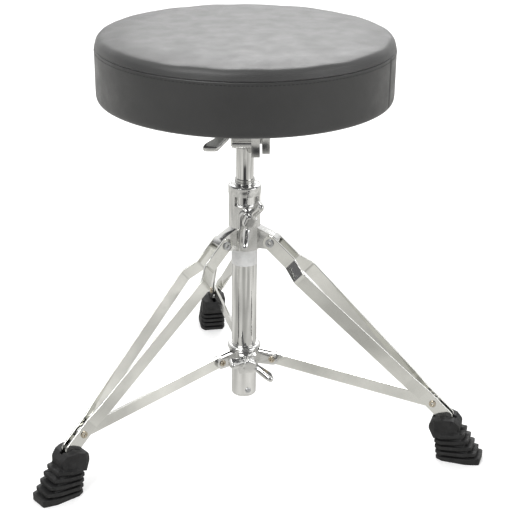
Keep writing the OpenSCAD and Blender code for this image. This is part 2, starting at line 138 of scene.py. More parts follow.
def pick(piece: Piece, kind: Kind, wanted: Callable[..., bool]) -> None:
    """Select the faces or edges of the piece in edit mode that pass a test.

    Args:
        piece: The piece in edit mode.
        kind: Faces or edges.
        wanted: Test of one face or edge, by its place or normal.
    """
    bpy.ops.mesh.select_mode(type=kind.name)
    mesh = bmesh.from_edit_mesh(piece.data)
    parts = list(getattr(mesh, kind.value))
    for part in parts:
        part.select_set(False)
    for part in [part for part in parts if wanted(part)]:
        part.select_set(True)
    mesh.select_flush_mode()
    bmesh.update_edit_mesh(piece.data)


def extrude(
    move: Sequence[float], scale: Sequence[float] = (1, 1, 1), about: Sequence[float] = (0, 0, 0)
) -> None:
    """Extrude the selected faces or edges, then move and scale the new ones.

    Args:
        move: Travel of the extrusion.
        scale: Scale of the new end.
        about: Centre of the scaling.
    """
    bpy.ops.mesh.extrude_region_move(TRANSFORM_OT_translate={"value": tuple(move)})
    if tuple(scale) != (1, 1, 1):
        bpy.ops.transform.resize(value=tuple(scale), center_override=tuple(about))


def turn_selected(angle: float, axis: str, about: Sequence[float]) -> None:
    """Turn what is selected by the right-hand rule; with no window the operator is reversed."""
    bpy.ops.transform.rotate(
        value=-angle, orient_axis=axis, orient_type="GLOBAL", center_override=tuple(about)
    )


def applied(piece: Piece, kind: str, **values: object) -> None:
    """Give a piece a modifier with these settings and apply it."""
    activate(piece)
    modifier = piece.modifiers.new(kind.lower(), kind)
    for key, value in values.items():
        setattr(modifier, key, value)
    bpy.ops.object.modifier_apply(modifier=modifier.name)


def bevelled(piece: Piece, width: float, segments: int, angle: float) -> None:
    """Round the edges of a piece that are sharper than an angle in degrees."""
    applied(
        piece, "BEVEL", width=width, segments=segments, limit_method="ANGLE",
        angle_limit=math.radians(angle), use_clamp_overlap=True,
    )


def subdivided(piece: Piece, levels: int) -> None:
    """Smooth a piece with subdivision."""
    applied(piece, "SUBSURF", levels=levels, render_levels=levels)


def tidy(piece: Piece, smooth_angle: float = 40.0) -> None:
    """Merge doubles, point the faces outward and smooth the shading below an angle in degrees."""
    with editing(piece, everything=True):
        bpy.ops.mesh.remove_doubles(threshold=DOUBLES)
        bpy.ops.mesh.normals_make_consistent(inside=False)
    activate(piece)
    bpy.ops.object.shade_smooth_by_angle(angle=math.radians(smooth_angle))


def put(piece: Piece, place: Matrix) -> Piece:
    """Move a piece's mesh by a matrix, so that its object stays at the origin."""
    piece.data.transform(place)
    piece.data.update()
    return piece


def block(name: str, sizes: Sequence[float], middle: Sequence[float] = (0, 0, 0)) -> Piece:
    """Start a piece as a rectangular block of these sizes about its middle."""
    piece = start(bpy.ops.mesh.primitive_cube_add, name, size=1)
    put(piece, Matrix.Diagonal((*sizes, 1)))
    return put(piece, Matrix.Translation(middle))


def copy_of(piece: Piece, name: str) -> Piece:
    """Copy a piece with a mesh of its own."""
    twin = piece.copy()
    twin.data = piece.data.copy()
    twin.name = name
    bpy.context.scene.collection.objects.link(twin)
    return twin


def repeated(model: Piece, places: Iterable[Matrix], name: str) -> Piece:
    """Copy a model to each place and join the copies into one piece."""
    copies = [put(copy_of(model, model.name), place) for place in places]
    deselect()
    for copy in copies:
        copy.select_set(True)
    bpy.context.view_layer.objects.active = copies[0]
    bpy.ops.object.join()
    copies[0].name = name
    return copies[0]


def discard(*models: Piece) -> None:
    """Remove models that have been copied to their places."""
    for model in models:
        bpy.data.objects.remove(model)


def merged_copy(node: str, name: str) -> Piece:
    """Copy a frame node as one merged mesh with its flat faces whole.

    Args:
        node: Name of the frame's node.
        name: Name of the copy.

    Returns:
        The copy, which rides on nothing yet.
    """
    piece = bpy.data.objects.new(name, frame["nodes"][node].data.copy())
    bpy.context.scene.collection.objects.link(piece)
    piece.data.materials.clear()
    with editing(piece, everything=True):
        bpy.ops.mesh.remove_doubles(threshold=DOUBLES)
        bpy.ops.mesh.dissolve_limited(angle_limit=math.radians(FLAT_ANGLE))
    return piece


# ---------------------------------------------------------------- finishes


class Tree:
    """Short calls that build the node tree of a material or world."""

    def __init__(self, owner: Material | bpy.types.World) -> None:
        """Start an empty tree."""
        owner.use_nodes = True
        self.tree = owner.node_tree
        self.tree.nodes.clear()

    def add(self, kind: str, **values: object) -> bpy.types.Node:
        """Add a node and set its attributes."""
        node = self.tree.nodes.new(kind)
        for key, value in values.items():
            setattr(node, key, value)
        return node

    def join(self, source: Socket, target: Socket) -> None:
        """Link an output to an input."""
        self.tree.links.new(source, target)


class Graph(Tree):
    """A new material and short calls that build its nodes."""

    def __init__(self, name: str) -> None:
        """Start a material with a Principled shader and Object coordinates."""
        self.material = bpy.data.materials.new(name)
        super().__init__(self.material)
        self.shader = self.add("ShaderNodeBsdfPrincipled")
        output = self.add("ShaderNodeOutputMaterial")
        self.join(self.shader.outputs["BSDF"], output.inputs["Surface"])
        self.place = self.add("ShaderNodeTexCoord").outputs["Object"]

    def set(self, **values: object) -> None:
        """Set sockets of the shader, with underscores for the spaces in their names."""
        for key, value in values.items():
            self.shader.inputs[key.replace("_", " ")].default_value = value

    def drive(self, **sources: Socket) -> None:
        """Link sources to sockets of the shader, named in the same way."""
        for key, source in sources.items():
            self.join(source, self.shader.inputs[key.replace("_", " ")])

    def stretched(self, scale: Sequence[float]) -> Socket:
        """Object coordinates scaled along each axis."""
        mapping = self.add("ShaderNodeMapping")
        mapping.inputs["Scale"].default_value = tuple(scale)
        self.join(self.place, mapping.inputs["Vector"])
        return mapping.outputs["Vector"]

    def noise(
        self, scale: float, detail: float = 3.0, where: Socket | None = None, rough: float = 0.5
    ) -> Socket:
        """A noise between 0 and 1 at a scale per metre."""
        node = self.add("ShaderNodeTexNoise")
        for key, value in (("Scale", scale), ("Detail", detail), ("Roughness", rough)):
            node.inputs[key].default_value = value
        self.join(where or self.place, node.inputs["Vector"])
        return node.outputs["Fac"]

    def span(
        self, source: Socket, low: float, high: float, start: float = 0.3, end: float = 0.7
    ) -> Socket:
        """Map a value from start..end to low..high."""
        node = self.add("ShaderNodeMapRange")
        for key, value in (
            ("From Min", start), ("From Max", end), ("To Min", low), ("To Max", high)
        ):
            node.inputs[key].default_value = value
        self.join(source, node.inputs["Value"])
        return node.outputs["Result"]

    def product(self, first: Socket, second: Socket) -> Socket:
        """Two values multiplied."""
        node = self.add("ShaderNodeMath", operation="MULTIPLY")
        self.join(first, node.inputs[0])
        self.join(second, node.inputs[1])
        return node.outputs[0]

    def blend(
        self, source: Socket, first: Sequence[float], second: Sequence[float],
        start: float = 0.35, end: float = 0.65,
    ) -> Socket:
        """A colour that goes from first to second as a value goes from start to end."""
        ramp = self.add("ShaderNodeValToRGB")
        for stop, place, colour in zip(
            ramp.color_ramp.elements, (start, end), (first, second)
        ):
            stop.position, stop.color = place, (*colour, 1)
        self.join(source, ramp.inputs["Fac"])
        return ramp.outputs["Color"]

    def relief(self, height: Socket, depth: float, below: Socket | None = None) -> Socket:
        """Bump of a depth in metres, on top of another normal."""
        node = self.add("ShaderNodeBump")
        node.inputs["Strength"].default_value = 1.0
        node.inputs["Distance"].default_value = depth
        self.join(height, node.inputs["Height"])
        if below is not None:
            self.join(below, node.inputs["Normal"])
        return node.outputs["Normal"]


def even(value: float) -> Triple:
    """The same value three times: a grey, or one scale along every axis."""
    return (value, value, value)


def scaled(tone: Sequence[float], share: float) -> Triple:
    """A lighter or darker tone, no brighter than white."""
    return tuple(min(1.0, share * part) for part in tone)


@dataclass(frozen=True)
class Chrome:
    """Bright plate: slightly wavy, with hairlines and a faint haze that varies."""

    name: str
    tint: Triple = (0.80, 0.80, 0.79)
    haze: Span = (0.035, 0.10)
    wave_scale: float = 38.0
    wave_depth: float = 0.12 * MM
    hairline: Triple = (900.0, 900.0, 60.0)
    hairline_depth: float = 0.002 * MM
    stain_scale: float = 26.0
    smear_scale: float = 55.0

    def build(self) -> Material:
        """Build the material."""
        g = Graph(self.name)
        g.set(Metallic=1.0)
        lines = g.noise(1.0, 3.0, g.stretched(self.hairline))
        smears = g.product(lines, g.noise(self.smear_scale, 5.0))
        wave = g.relief(g.noise(self.wave_scale, 2.0), self.wave_depth)
        stains = g.noise(self.stain_scale, 4.0)
        g.drive(
            Base_Color=g.blend(stains, scaled(self.tint, 0.86), self.tint),
            Roughness=g.span(smears, *self.haze, 0.14, 0.36),
            Normal=g.relief(lines, self.hairline_depth, wave),
        )
        return g.material


@dataclass(frozen=True)
class Rubber:
    """Moulded black rubber with a fine matt grain and pale dust in patches."""

    name: str = "foot_rubber"
    tone: Triple = (0.010, 0.010, 0.0102)
    grain_scale: float = 1900.0
    grain_depth: float = 0.06 * MM
    mould_scale: float = 90.0
    mould_depth: float = 0.25 * MM

    def build(self) -> Material:
        """Build the material."""
        g = Graph(self.name)
        g.set(IOR=1.48)
        grain = g.relief(g.noise(self.grain_scale, 3.0), self.grain_depth)
        g.drive(
            Base_Color=g.blend(g.noise(120.0, 6.0), self.tone, scaled(self.tone, 2.1), 0.4, 0.8),
            Roughness=g.span(g.noise(220.0, 4.0), 0.52, 0.74),
            Normal=g.relief(g.noise(self.mould_scale, 3.0), self.mould_depth, grain),
        )
        return g.material


@dataclass(frozen=True)
class Vinyl:
    """Black leather-look vinyl: pebbled grain, soft sheen and cloudy wear."""

    name: str
    tone: float
    rough: Span
    grain_scale: float = 820.0
    grain_depth: float = 0.045 * MM
    warp_scale: float = 400.0
    warp: float = 1.6 * MM
    sag_scale: float = 70.0
    sag_depth: float = 0.13 * MM

    def pebbles(self, g: Graph) -> Socket:
        """Height of the pebbled grain: cells with warped edges."""
        shift = g.add("ShaderNodeTexNoise")
        shift.inputs["Scale"].default_value = self.warp_scale
        g.join(g.place, shift.inputs["Vector"])
        warp = g.add("ShaderNodeVectorMath", operation="MULTIPLY_ADD")
        g.join(shift.outputs["Color"], warp.inputs[0])
        warp.inputs[1].default_value = even(self.warp)
        g.join(g.place, warp.inputs[2])
        cells = g.add("ShaderNodeTexVoronoi", feature="DISTANCE_TO_EDGE")
        cells.inputs["Scale"].default_value = self.grain_scale
        g.join(warp.outputs[0], cells.inputs["Vector"])
        return g.span(cells.outputs["Distance"], 0.0, 1.0, 0.0, 0.22)

    def build(self) -> Material:
        """Build the material."""
        g = Graph(self.name)
        g.set(Sheen_Weight=0.12, Sheen_Roughness=0.45, Coat_Weight=0.08, Coat_Roughness=0.42)
        worn = (self.tone * 1.4, self.tone * 1.4, self.tone * 1.38)
        sag = g.relief(g.noise(self.sag_scale, 4.0), self.sag_depth)
        g.drive(
            Base_Color=g.blend(g.noise(9.0, 6.0, rough=0.6), even(self.tone), worn, 0.30, 0.72),
            Roughness=g.span(g.noise(48.0, 5.0, rough=0.6), *self.rough),
            Normal=g.relief(self.pebbles(g), self.grain_depth, sag),
        )
        return g.material


@dataclass(frozen=True)
class Plastic:
    """Moulded plastic or film in one tone, with a faint mould texture."""

    name: str
    tone: Triple
    rough: Span

    def build(self) -> Material:
        """Build the material."""
        g = Graph(self.name)
        g.drive(
            Base_Color=g.blend(g.noise(70.0, 4.0), self.tone, scaled(self.tone, 1.25)),
            Roughness=g.span(g.noise(160.0, 4.0), *self.rough),
            Normal=g.relief(g.noise(700.0, 2.0), 0.02 * MM),
        )
        return g.material


@dataclass(frozen=True)
class Plywood:
    """Birch plywood: long grain on its faces and thin plies on its edge."""

    name: str = "plywood"
    ply: float = 1.5 * MM
    grain: Triple = (24.0, 320.0, 24.0)

    def build(self) -> Material:
        """Build the material."""
        g = Graph(self.name)
        grain = g.noise(1.0, 5.0, g.stretched(self.grain))
        plies = g.add("ShaderNodeTexWave", wave_type="BANDS", bands_direction="Z")
        plies.inputs["Scale"].default_value = 1.0 / (self.ply * 20.0)
        g.join(g.place, plies.inputs["Vector"])
        mixed = g.add("ShaderNodeMix", data_type="RGBA", blend_type="MULTIPLY")
        mixed.inputs["Factor"].default_value = 0.35
        g.join(g.blend(grain, (0.40, 0.27, 0.15), (0.62, 0.46, 0.28)), mixed.inputs["A"])
        g.join(plies.outputs["Color"], mixed.inputs["B"])
        g.drive(
            Base_Color=mixed.outputs["Result"],
            Roughness=g.span(grain, 0.55, 0.75),
            Normal=g.relief(grain, 0.08 * MM),
        )
        return g.material


@dataclass(frozen=True)
class Cloth:
    """Thin non-woven cloth or foam with a fibrous, matt surface."""

    name: str
    tone: Triple = (0.03, 0.03, 0.032)
    fibre: float = 1400.0

    def build(self) -> Material:
        """Build the material."""
        g = Graph(self.name)
        fibres = g.noise(1.0, 6.0, g.stretched((self.fibre, self.fibre * 0.35, self.fibre)))
        g.drive(
            Base_Color=g.blend(fibres, self.tone, scaled(self.tone, 1.9)),
            Roughness=g.span(fibres, 0.8, 0.95),
            Normal=g.relief(fibres, 0.15 * MM),
        )
        return g.material


class Finishes:
    """Every finish on the throne, built once."""

    def __init__(self) -> None:
        """Build the materials."""
        self.tube = Chrome("tube_chrome", hairline=(900.0, 900.0, 40.0)).build()
        self.post = Chrome("post_chrome", haze=(0.02, 0.06), wave_depth=0.06 * MM).build()
        self.cast = Chrome(
            "cast_chrome", (0.78, 0.78, 0.77), (0.13, 0.24), 80.0, 0.10 * MM, even(1100.0)
        ).build()
        self.strip = Chrome(
            "strip_chrome", (0.84, 0.84, 0.81), (0.06, 0.14), 30.0, 0.16 * MM, even(1500.0)
        ).build()
        self.zinc = Chrome(
            "zinc_steel", (0.62, 0.63, 0.64), (0.25, 0.42), 200.0, 0.08 * MM, even(700.0)
        ).build()
        self.rivet = Chrome(
            "rivet_steel", (0.60, 0.54, 0.44), (0.2, 0.34), 260.0, 0.10 * MM, even(500.0)
        ).build()
        self.rubber = Rubber().build()
        # One black vinyl in two copies: the top copy is lighter, painted light, and the side copy
        # is darker, painted shade.
        self.vinyl_top = Vinyl("vinyl_top", 0.036, (0.38, 0.52)).build()
        self.vinyl_side = Vinyl("vinyl_side", 0.027, (0.30, 0.52)).build()
        self.bush = Chrome(
            "bush_chrome", (0.60, 0.60, 0.59), (0.06, 0.14), 60.0, 0.08 * MM, even(500.0)
        ).build()
        self.nylon = Plastic("nylon", (0.03, 0.03, 0.032), (0.08, 0.18)).build()
        self.band = Plastic("band", (0.60, 0.60, 0.59), (0.25, 0.4)).build()
        self.thread = Cloth("thread", even(0.012), 2600.0).build()
        self.plywood = Plywood().build()
        self.foam = Cloth("foam", (0.55, 0.48, 0.26), 500.0).build()
        self.dust = Cloth("dust_cloth").build()


def dress(piece: Piece, *finishes: Material) -> None:
    """Give a piece these finishes in place of its own."""
    piece.data.materials.clear()
    for finish in finishes:
        piece.data.materials.append(finish)


def dress_node(node: str, finish: Material) -> None:
    """Give one frame node a finish in all of its slots."""
    piece = frame["nodes"][node]
    for slot in piece.material_slots:
        slot.material = finish
    if not piece.material_slots:
        piece.data.materials.append(finish)


def mount(piece: Piece, body: str, slot: str, *nodes: str) -> None:
    """Ride a finished piece on a body, in place of frame nodes, and log it.

    Args:
        piece: The finished piece.
        body: Body that it moves with.
        slot: Slot that its material stands for; not used.
        *nodes: Frame nodes that it replaces.
    """
    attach(piece, body)
    if nodes:
        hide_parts(*nodes)
    log.info("%s: %d faces, rides on %s", piece.name, len(piece.data.polygons), body)


# ---------------------------------------------------------------- the column's place


@dataclass
class Column:
    """Where the column stands, read from the frame."""

    tube: tuple[Vector, Vector] = field(default_factory=lambda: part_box("outer_tube"))

    @property
    def axis_y(self) -> float:
        """Place of the column's axis along Y."""
        return (self.tube[0].y + self.tube[1].y) / 2

    def standing(self) -> Matrix:
        """Move from the column's own axis to its place in the frame."""
        return Matrix.Translation((0, self.axis_y, 0))

    def on_leg(self, way: Way) -> Matrix:
        """Place of a frame whose +X points out along a leg."""
        return self.standing() @ Matrix.Rotation(way.radians, 4, "Z")

    def line_between(self, way: Way, inner: Vector, outer: Vector) -> Matrix:
        """Place of a frame at one pivot with +X towards another, in a leg's upright plane.

        Args:
            way: The leg.
            inner: Radius and height of the first pivot, as x and z.
            outer: Radius and height of the second pivot, as x and z.

        Returns:
            The matrix of that frame.
        """
        slope = math.atan2(inner.z - outer.z, outer.x - inner.x)
        return self.on_leg(way) @ Matrix.Translation(inner) @ Matrix.Rotation(slope, 4, "Y")


def joint_named(name: str) -> dict:
    """The frame's joint of that name."""
    return next(joint for joint in frame["joints"] if joint["name"] == name)


def pivot_of(joint: str, column: Column) -> Vector:
    """Radius from the column's axis and height of a joint, as x and z."""
    x, y, z = joint_named(joint)["pos_m"]
    return Vector((math.hypot(x, y - column.axis_y), 0, z))


# ---------------------------------------------------------------- legs and braces


@dataclass
class StripLegs:
    """Bent double strips of the legs and the flat braces, with their rivets and rubber feet.

    A strip's bends are placed along the line between its pivots: the first two from the upper
    pivot, the last two and the tail from the foot's. The y sizes are how far a strip's middle
    lies from its leg's plane. A rivet is the radius and height of its heads.
    """

    column: Column
    finishes: Finishes
    width: float = 16 * MM
    thickness: float = 2.2 * MM
    bend_radius: float = 9 * MM
    bend_steps: int = 6
    upper_bends: Span = (31.5 * MM, 49.5 * MM)
    lower_bends: Span = (36 * MM, 14 * MM)
    tail: float = 27.5 * MM
    top_y: float = 7.2 * MM
    wide_y: float = 17.6 * MM
    narrow_y: float = 6.6 * MM
    foot_y: float = 3.5 * MM
    corner_share: float = 0.985
    brace_width: float = 14.4 * MM
    brace_thickness: float = 3 * MM
    edge: float = 0.45 * MM
    foot_rivet: Span = (3.8 * MM, 1.4 * MM)
    leg_rivet: Span = (4.6 * MM, 1.8 * MM)
    collar_rivet: Span = (3.7 * MM, 1.3 * MM)
    collar_seat: float = 4.7 * MM
    rivet_root: float = 1.1 * MM
    foot_voxel: float = 0.6 * MM

    def __post_init__(self) -> None:
        """Read the pivots' radius and height from the frame."""
        self.leg_pivot = pivot_of("left_leg_fold", self.column)
        self.brace_pivot = pivot_of("left_brace_turn", self.column)
        low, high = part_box("rear_foot_rivets")
        self.foot_pivot = Vector((
            (low.y + high.y) / 2 - self.column.axis_y, 0, (low.z + high.z) / 2
        ))
        self.leg_length = (self.foot_pivot - self.leg_pivot).length

    def route(self) -> list[Vector]:
        """Middle line of one strip, from above its pivot to inside the foot."""
        length = self.leg_length
        return [Vector((x, y, 0)) for x, y in (
            (-self.width / 2, self.top_y),
            (self.upper_bends[0], self.top_y),
            (self.upper_bends[1], self.wide_y),
            (length - self.lower_bends[0], self.narrow_y),
            (length - self.lower_bends[1], self.foot_y),
            (length + self.tail, self.foot_y),
        )]

    def rounded_route(self) -> list[tuple[Vector, float]]:
        """The strip's middle line with an arc at each bend.

        Returns:
            Places along the line, each with the strip's heading in radians.
        """
        points = self.route()
        headings = [math.atan2((b - a).y, (b - a).x) for a, b in zip(points, points[1:])]
        stations = [(points[0], headings[0])]
        for corner, before, after in zip(points[1:-1], headings, headings[1:]):
            reach = self.bend_radius * abs(math.tan((after - before) / 2))
            first = corner - reach * Vector((math.cos(before), math.sin(before), 0))
            arm = math.copysign(self.bend_radius, after - before)
            centre = first + arm * Vector((-math.sin(before), math.cos(before), 0))
            for step in range(self.bend_steps + 1):
                heading = before + (after - before) * step / self.bend_steps
                spoke = Vector((math.sin(heading), -math.cos(heading), 0))
                stations.append((centre + arm * spoke, heading))
        stations.append((points[-1], headings[-1]))
        return stations

    def make_strip(self) -> Piece:
        """Model one strip: a flat start face, extruded along the route and turned at each bend.

        Returns:
            The strip in the leg's own frame, on the +Y side.
        """
        stations = self.rounded_route()
        place, heading = stations[0]
        strip = start(
            bpy.ops.mesh.primitive_plane_add, "strip", size=1, rotation=(0, math.pi / 2, 0)
        )
        put(strip, Matrix.Diagonal((1, self.thickness, self.width, 1)))
        put(strip, Matrix.Translation(place) @ Matrix.Rotation(heading, 4, "Z"))
        with editing(strip, everything=True):
            for next_place, next_heading in stations[1:]:
                extrude(next_place - place)
                if next_heading != heading:
                    turn_selected(next_heading - heading, "Z", next_place)
                place, heading = next_place, next_heading
            self.round_ends(strip, (stations[0][0].x, place.x), self.width / 2)
        return self.eased(strip)

    def round_ends(self, bar: Piece, ends: Sequence[float], radius: float) -> None:
        """Round the four corners of a bar seen from its side, in edit mode.

        Args:
            bar: The bar in edit mode, lying along X.
            ends: Places of its two ends along X.
            radius: Radius of the corners.
        """
        def is_corner(edge: bmesh.types.BMEdge) -> bool:
            first, second = (vertex.co for vertex in edge.verts)
            at_end = any(
                abs(first.x - x) < 0.2 * MM and abs(second.x - x) < 0.2 * MM for x in ends
            )
            return at_end and abs(first.z - second.z) < 0.01 * MM

        pick(bar, Kind.EDGE, is_corner)
        bpy.ops.mesh.bevel(
            offset=self.corner_share * radius, segments=10, profile=0.5, affect="EDGES"
        )

    def eased(self, bar: Piece) -> Piece:
        """Ease the long edges of a strip or brace."""
        tidy(bar)
        bevelled(bar, self.edge, 3, 50)
        tidy(bar, 30)
        return bar

    def make_brace(self) -> Piece:
        """Model one brace: a flat bar with round ends and eased edges.

        Returns:
            The brace in its own frame, from the collar pivot along +X.
        """
        length = (self.foot_pivot - self.brace_pivot).length
        reach = self.brace_width / 2 - 0.4 * MM
        sizes = (length + 2 * reach, self.brace_thickness, 2 * reach)
        bar = block("brace", sizes, (length / 2, 0, 0))
        with editing(bar):
            self.round_ends(bar, (-reach, length + reach), reach)
        return self.eased(bar)

    def make_rivet_head(self, radius: float, height: float) -> Piece:
        """Model a rivet head with a rolled rim and a hollow middle.

        Args:
            radius: Radius of the head.
            height: Height of the head.

        Returns:
            The head, seated on z = 0 and rooted below it.
        """
        root = self.rivet_root
        head = start(
            bpy.ops.mesh.primitive_cylinder_add, "rivet_head",
            vertices=28, radius=radius, depth=height + root, location=(0, 0, (height - root) / 2),
        )
        with editing(head):
            pick(head, Kind.FACE, lambda face: face.normal.z > 0.9)
            bpy.ops.mesh.inset(thickness=0.56 * radius, depth=0)
            extrude((0, 0, -height - 0.6 * root), (0.8, 0.8, 1))
        bevelled(head, 0.28 * height, 3, 30)
        tidy(head, 60)
        return head

    def head_places(self, outside: float, place: Matrix) -> list[Matrix]:
        """Places of the two heads of a rivet that lies along Y.

        Args:
            outside: Distance of each head's seat from the middle.
            place: Place of the rivet's middle.

        Returns:
            The two places.
        """
        return [
            place @ (Matrix.Rotation(turn, 4, "Z") @ Matrix.Translation((0, outside, 0)))
            @ Matrix.Rotation(-math.pi / 2, 4, "X")
            for turn in (0, math.pi)
        ]

    def make_leg(self, way: Way, strip: Piece, rivet: Piece) -> None:
        """Place the two strips and the foot rivets of one leg.

        Args:
            way: The leg.
            strip: The strip model.
            rivet: The rivet head model.
        """
        body = f"{way.name}_leg"
        place = self.column.line_between(way, self.leg_pivot, self.foot_pivot)
        for number, sign in ((1, 1), (2, -1)):
            piece = copy_of(strip, f"{way.name}_strip_{number}")
            put(piece, place @ Matrix.Diagonal((1, sign, 1, 1)))
            tidy(piece, 30)
            dress(piece, self.finishes.strip)
            mount(piece, body, "strip_chrome", f"{body}_strip_{number}")
        middle = place @ Matrix.Translation((self.leg_length, 0, 0))
        heads = self.head_places(self.foot_y + self.thickness / 2, middle)
        piece = repeated(rivet, heads, f"{way.name}_foot_rivet_heads")
        dress(piece, self.finishes.rivet)
        mount(piece, body, "rivet_steel", f"{way.name}_foot_rivets")

    def make_foot(self, side: str) -> None:
        """Model a rubber foot as one soft-edged moulding over the frame's shape."""
        foot = merged_copy(f"{side}_foot", f"{side}_rubber_foot")
        activate(foot)
        foot.data.remesh_voxel_size = self.foot_voxel
        foot.data.remesh_voxel_adaptivity = 0.0
        bpy.ops.object.voxel_remesh()
        applied(foot, "SMOOTH", factor=0.5, iterations=4)
        tidy(foot, 80)
        dress(foot, self.finishes.rubber)
        mount(foot, f"{side}_leg", "foot_rubber", f"{side}_foot")

    def build(self) -> None:
        """Make all three legs and braces and dress what stays of the frame's nodes."""
        finishes = self.finishes
        strip = self.make_strip()
        brace = self.make_brace()
        foot_head = self.make_rivet_head(*self.foot_rivet)
        leg_head = self.make_rivet_head(*self.leg_rivet)
        collar_head = self.make_rivet_head(*self.collar_rivet)
        leg_heads: list[Matrix] = []
        collar_heads: list[Matrix] = []
        leg_seat = self.top_y + self.thickness / 2 + 0.1 * MM
        for way in Way:
            self.make_leg(way, strip, foot_head)
            body = f"{way.name}_brace"
            bar = copy_of(brace, f"{body}_bar")
            put(bar, self.column.line_between(way, self.brace_pivot, self.foot_pivot))
            dress(bar, finishes.strip)
            mount(bar, body, "strip_chrome", body)
            on_leg = self.column.on_leg(way)
            leg_heads += self.head_places(leg_seat, on_leg @ Matrix.Translation(self.leg_pivot))
            collar_heads += self.head_places(
                self.collar_seat, on_leg @ Matrix.Translation(self.brace_pivot)
            )
            for part in ("foot_spacer", "foot_pin"):
                dress_node(f"{way.name}_{part}", finishes.zinc)
        piece = repeated(leg_head, leg_heads, "leg_rivet_heads")
        dress(piece, finishes.zinc)
        mount(piece, "stand", "zinc_steel", "leg_pivot_rivets")
        piece = repeated(collar_head, collar_heads, "collar_rivet_heads")
        dress(piece, finishes.rivet)
        mount(piece, "collar", "rivet_steel", "brace_pivot_rivets")
        for way in Way:
            self.make_foot(way.name)
        discard(strip, brace, foot_head, leg_head, collar_head)


# ---------------------------------------------------------------- wing screws


@dataclass(frozen=True)
class WingStep:
    """One extrusion of a wing: its travel out and up, then how much its new end grows."""

    out: float
    up: float
    tall: float
    thick: float


@dataclass
class WingScrews:
    """The three cast wing screws: one model, copied to each place."""

    finishes: Finishes
    hub_radius: float = 6.4 * MM
    hub_height: float = 12 * MM
    wing_thickness: float = 6.4 * MM
    steps: tuple[WingStep, ...] = (
        WingStep(2.5 * MM, 1.0 * MM, 1.15, 1.0),
        WingStep(5.0 * MM, 4.8 * MM, 1.20, 1.0),
        WingStep(5.2 * MM, 5.2 * MM, 1.20, 1.05),
        WingStep(4.4 * MM, 2.0 * MM, 0.95, 1.0),
        WingStep(2.8 * MM, 0.6 * MM, 0.72, 0.85),
    )
    turns: tuple[tuple[str, float], ...] = (("height", 69.0), ("collar", -26.0), ("clamp", -28.0))

    def make_head(self) -> Piece:
        """Model one wing screw about +Z: a block hub with two wings drawn out of its sides.

        Returns:
            The screw's head, seated on z = 0, with its wings along X.
        """
        wide = 2.15 * self.hub_radius
        tall = self.hub_height
        head = block("wing_head", (wide, wide, tall), (0, 0, tall / 2))
        with editing(head, everything=True):
            bpy.ops.mesh.subdivide(number_cuts=2)
            for side in (-1, 1):
                # Middle faces of each side grow into a wing that sweeps up, widens and rounds off
                pick(head, Kind.FACE, lambda face: face.normal.x * side > 0.9
                     and abs(face.calc_center_median().y) < wide / 4
                     and 0.1 * tall < face.calc_center_median().z < 0.9 * tall)
                self.draw_wing(side, wide)
        subdivided(head, 3)
        tidy(head, 60)
        return head

    def draw_wing(self, side: int, wide: float) -> None:
        """Extrude the selected faces into one wing, in edit mode.

        Args:
            side: +1 or -1, the wing's way along X.
            wide: Width of the hub's block, whose middle third the faces take up.
        """
        x, z = side * wide / 2, self.hub_height * 0.5
        start_thick = self.wing_thickness / (wide / 3)
        for number, step in enumerate(self.steps):
            thick = step.thick * (1.0 if number else start_thick)
            extrude((side * step.out, 0, step.up))
            x += side * step.out
            z += step.up
            bpy.ops.transform.resize(value=(1, thick, step.tall), center_override=(x, 0, z))

    def build(self) -> None:
        """Make and place the three heads and dress their studs."""
        head = self.make_head()
        for name, turn in self.turns:
            facts = joint_named(f"{name}_screw_turn")
            axis = Vector(facts["axis"]).normalized()
            level = Vector((0, 0, 1)).cross(axis).normalized()
            base = Matrix((level, axis.cross(level), axis)).transposed().to_4x4()
            place = Matrix.Translation(facts["pos_m"]) @ base
            piece = copy_of(head, f"{name}_screw_head")
            put(piece, place @ Matrix.Rotation(math.radians(turn), 4, "Z"))
            dress(piece, self.finishes.cast)
            mount(piece, f"{name}_screw", "cast_chrome", f"{name}_wing_screw")
            dress_node(f"{name}_screw_stud", self.finishes.zinc)
        discard(head)


# ---------------------------------------------------------------- castings and tubes


@dataclass
class Stand:
    """Castings with eased edges, and the tubes, bush and band of the column."""

    finishes: Finishes
    cast_edge: float = 0.7 * MM

    def build(self) -> None:
        """Replace each casting with an eased copy and dress the frame's own tubes."""
        finishes = self.finishes
        for node, body in (("top_casting", "stand"), ("brace_collar", "collar"),
                           ("seat_clamp", "seat")):
            piece = merged_copy(node, f"{node}_casting")
            bevelled(piece, self.cast_edge, 3, 32)
            tidy(piece, 34)
            dress(piece, finishes.cast)
            mount(piece, body, "cast_chrome", node)
        for node, finish in (
            ("outer_tube", finishes.tube), ("tube_end_cap", finishes.tube),
            ("post", finishes.post), ("post_bush", finishes.bush),
            ("post_guide_ring", finishes.nylon), ("post_cap", finishes.nylon),
            ("plain_band", finishes.band), ("tube_stop_screw", finishes.zinc),
            ("casting_set_screw", finishes.zinc),
        ):
            dress_node(node, finish)


# ---------------------------------------------------------------- seat


def arc(angles: Sequence[float], centre: Span, radius: float) -> list[Span]:
    """Points on an arc in the plane of radius and height, at angles in degrees from outward."""
    return [
        (centre[0] + radius * math.cos(math.radians(a)),
         centre[1] + radius * math.sin(math.radians(a)))
        for a in angles
    ]


